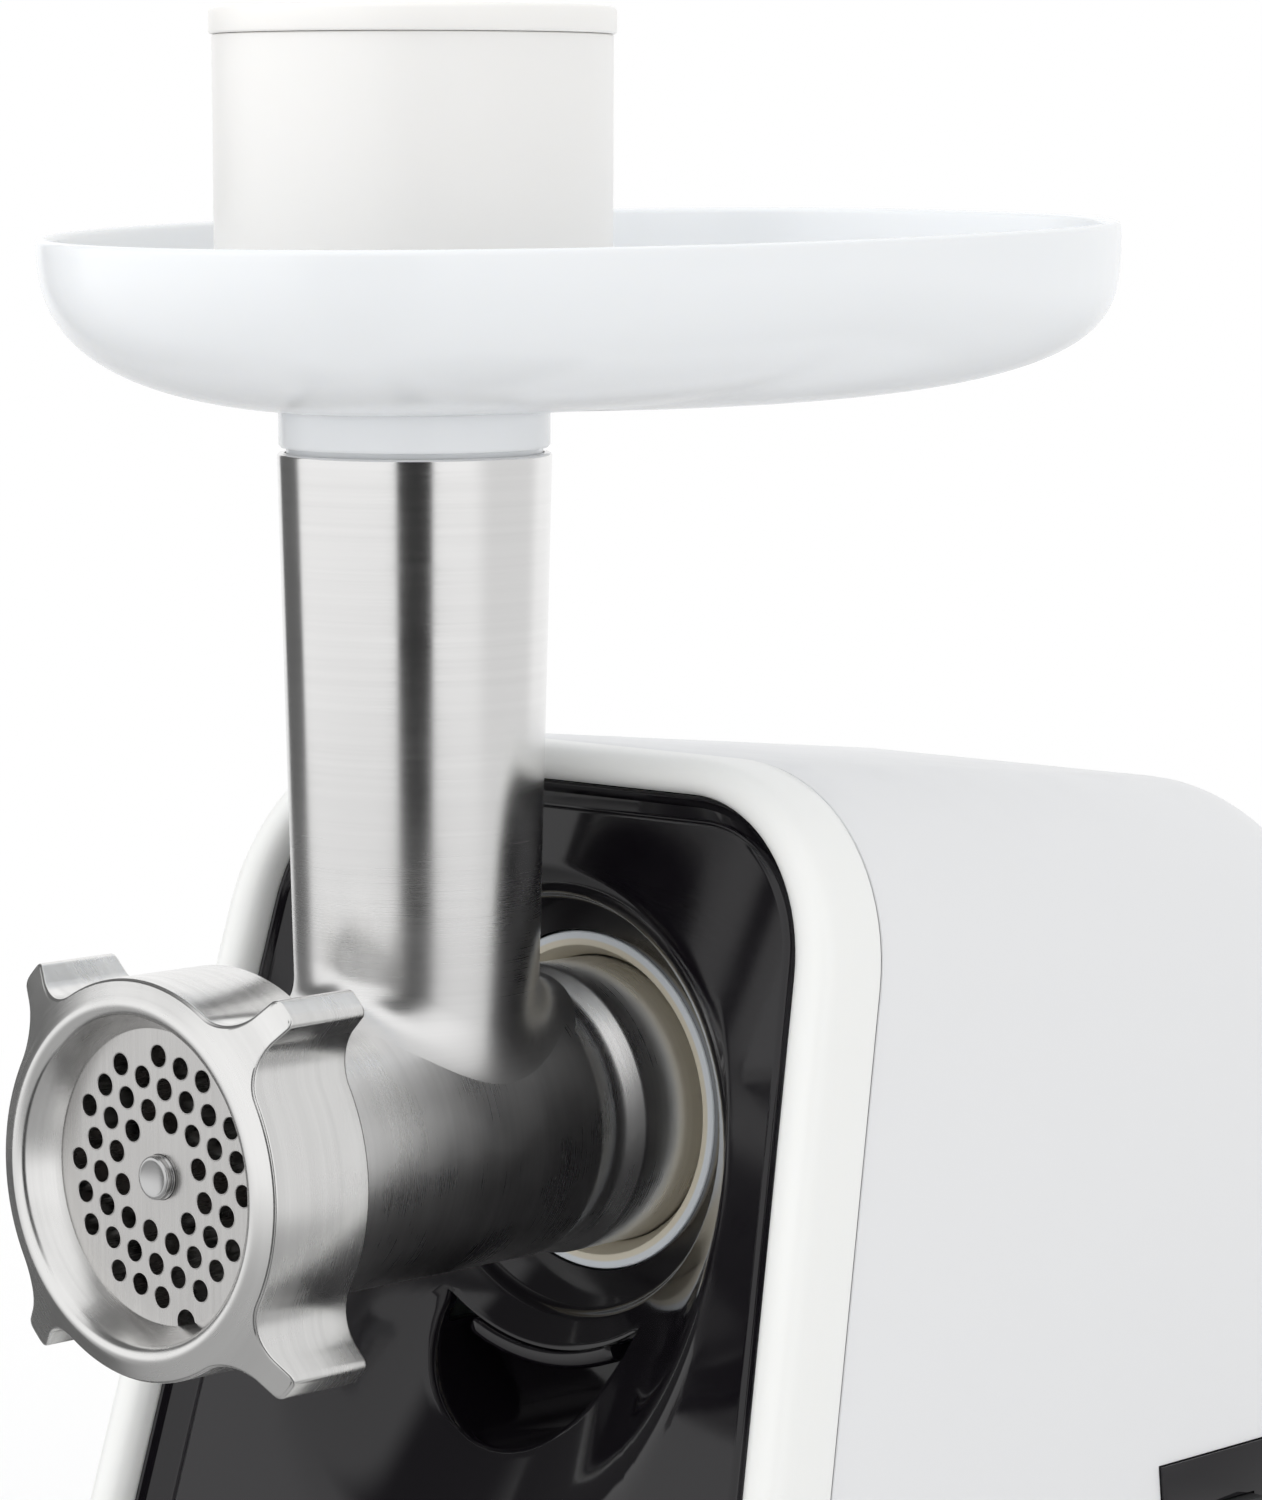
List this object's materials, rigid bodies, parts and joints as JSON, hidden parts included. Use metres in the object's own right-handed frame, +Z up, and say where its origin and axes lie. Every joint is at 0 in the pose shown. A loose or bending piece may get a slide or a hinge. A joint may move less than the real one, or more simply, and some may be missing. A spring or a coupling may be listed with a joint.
{
  "type": "electric meat grinder",
  "caption": "Countertop electric meat grinder: metal feed tube and grinding head with lobed ring nut, oval tray with hollow pusher, white motor housing with black dished front.",
  "frame": {"origin": "bottom centre of the whole machine's bounding box, on the plane its feet rest on", "axes": "+Z up, +Y from the grinding head towards the back of the motor housing, +X to the right when facing the ring nut"},
  "size_m": [0.1914, 0.2767, 0.3334],
  "materials": {
    "shell_white": "smooth cool white moulding",
    "bezel_white": "smooth warm white moulding",
    "tray_white": "glossy cool white moulding",
    "pusher_ivory": "satin warm white moulding",
    "panel_black": "piano black",
    "control_black": "fine grained black",
    "grille_white": "fine grained white",
    "base_grey": "textured underside",
    "foot_rubber": "soft matte rubber",
    "socket_nylon": "cream nylon",
    "head_aluminium": "brushed and clear lacquered casting",
    "ring_aluminium": "satin brushed casting",
    "plate_steel": "ground stainless",
    "gear_nylon": "natural nylon",
    "shaft_steel": "turned steel",
    "bush_brass": "sintered bronze",
    "motor_steel": "stacked laminations",
    "winding_copper": "enamelled wire",
    "brush_carbon": "pressed carbon",
    "screw_zinc": "bright zinc",
    "spring_steel": "drawn wire"
  },
  "bodies": {
    "housing": {"front_bezel": "bezel_white", "body_shell": "shell_white", "base_plate": "base_grey", "rubber_feet": "foot_rubber", "base_screws": "screw_zinc", "front_panel": "panel_black", "release_pocket": "panel_black", "release_spring": "spring_steel", "seat_ring": "socket_nylon", "seat_screws": "screw_zinc", "gearbox_case": "socket_nylon", "gearbox_cover": "socket_nylon", "gearbox_screws": "screw_zinc", "output_bush": "bush_brass", "front_bracket": "motor_steel", "rear_bracket": "motor_steel", "ball_bearings": "shaft_steel", "stator_core": "motor_steel", "end_windings": "winding_copper", "motor_bolts": "shaft_steel", "carbon_brushes": "brush_carbon", "brush_holders": "control_black", "control_panel": "panel_black", "button_spring": "spring_steel", "switch_block": "control_black", "rear_grille": "grille_white", "cord_gland": "control_black"},
    "rotor": {"motor_shaft": "shaft_steel", "motor_pinion": "shaft_steel", "rotor_core": "motor_steel", "commutator": "bush_brass", "cooling_fan": "gear_nylon"},
    "countershaft_a": {"shaft_a": "shaft_steel", "first_wheel": "gear_nylon", "second_pinion": "shaft_steel"},
    "countershaft_b": {"shaft_b": "shaft_steel", "second_wheel": "gear_nylon", "third_pinion": "shaft_steel"},
    "output": {"drive_hub": "shaft_steel", "output_wheel": "gear_nylon"},
    "head": {"head_casting": "head_aluminium", "auger_washer": "socket_nylon"},
    "auger": {"auger": "head_aluminium", "auger_drive_square": "plate_steel", "auger_pin": "plate_steel", "knife": "plate_steel"},
    "cutting_plate": {"cutting_plate": "plate_steel"},
    "ring_nut": {"ring_nut": "ring_aluminium"},
    "tray": {"tray": "tray_white"},
    "pusher": {"pusher": "pusher_ivory"},
    "pusher_lid": {"pusher_lid": "pusher_ivory"},
    "release_lever": {"release_lever": "panel_black"},
    "power_rocker": {"power_rocker": "control_black"},
    "reverse_button": {"reverse_button": "control_black"}
  },
  "joints": [
    {"name": "rotor_spin", "type": "hinge", "parent": "housing", "child": "rotor", "pos_m": [0.00002, 0, 0.04783], "axis": [0, 1, 0], "continuous": true},
    {"name": "countershaft_a_spin", "type": "hinge", "parent": "housing", "child": "countershaft_a", "pos_m": [0.00875, 0, 0.07658], "axis": [0, 1, 0], "continuous": true},
    {"name": "countershaft_b_spin", "type": "hinge", "parent": "housing", "child": "countershaft_b", "pos_m": [-0.02792, 0, 0.08465], "axis": [0, 1, 0], "continuous": true},
    {"name": "output_spin", "type": "hinge", "parent": "housing", "child": "output", "pos_m": [0, 0, 0.12], "axis": [0, 1, 0], "continuous": true},
    {"name": "head_pull", "type": "slide", "parent": "housing", "child": "head", "axis": [0, -1, 0], "range_m": [0, 0.06]},
    {"name": "auger_spin", "type": "hinge", "parent": "head", "child": "auger", "pos_m": [0, 0, 0.12], "axis": [0, 1, 0], "continuous": true},
    {"name": "plate_advance", "type": "slide", "parent": "head", "child": "cutting_plate", "axis": [0, -1, 0], "range_m": [0, 0.0181]},
    {"name": "ring_unscrew", "type": "hinge", "parent": "cutting_plate", "child": "ring_nut", "pos_m": [0, 0, 0.12], "axis": [0, -1, 0], "range_deg": [0, 1620]},
    {"name": "tray_lift", "type": "slide", "parent": "head", "child": "tray", "axis": [0, 0, 1], "range_m": [0, 0.05]},
    {"name": "pusher_lift", "type": "slide", "parent": "tray", "child": "pusher", "axis": [0, 0, 1], "range_m": [0, 0.12]},
    {"name": "lid_lift", "type": "slide", "parent": "pusher", "child": "pusher_lid", "axis": [0, 0, 1], "range_m": [0, 0.03]},
    {"name": "lever_press", "type": "slide", "parent": "housing", "child": "release_lever", "axis": [0, 1, 0], "range_m": [0, 0.003], "stiffness_N_per_m": 400, "springref_m": -0.003, "deforming": ["release_spring"]},
    {"name": "rocker_tilt", "type": "hinge", "parent": "housing", "child": "power_rocker", "pos_m": [0.08836, 0.06815, 0.0315], "axis": [0, 0, 1], "range_deg": [0, 8]},
    {"name": "reverse_press", "type": "slide", "parent": "housing", "child": "reverse_button", "axis": [-1, 0, 0], "range_m": [0, 0.0025], "stiffness_N_per_m": 500, "springref_m": -0.003, "deforming": ["button_spring"]}
  ],
  "couplings": [
    {"joint": "countershaft_a_spin", "follows": "rotor_spin", "ratio": -0.25},
    {"joint": "countershaft_b_spin", "follows": "rotor_spin", "ratio": 0.0625},
    {"joint": "output_spin", "follows": "rotor_spin", "ratio": -0.015625},
    {"joint": "auger_spin", "follows": "rotor_spin", "ratio": -0.015625},
    {"joint": "plate_advance", "follows": "ring_unscrew", "m_per_rad": 0.00063662}
  ]
}
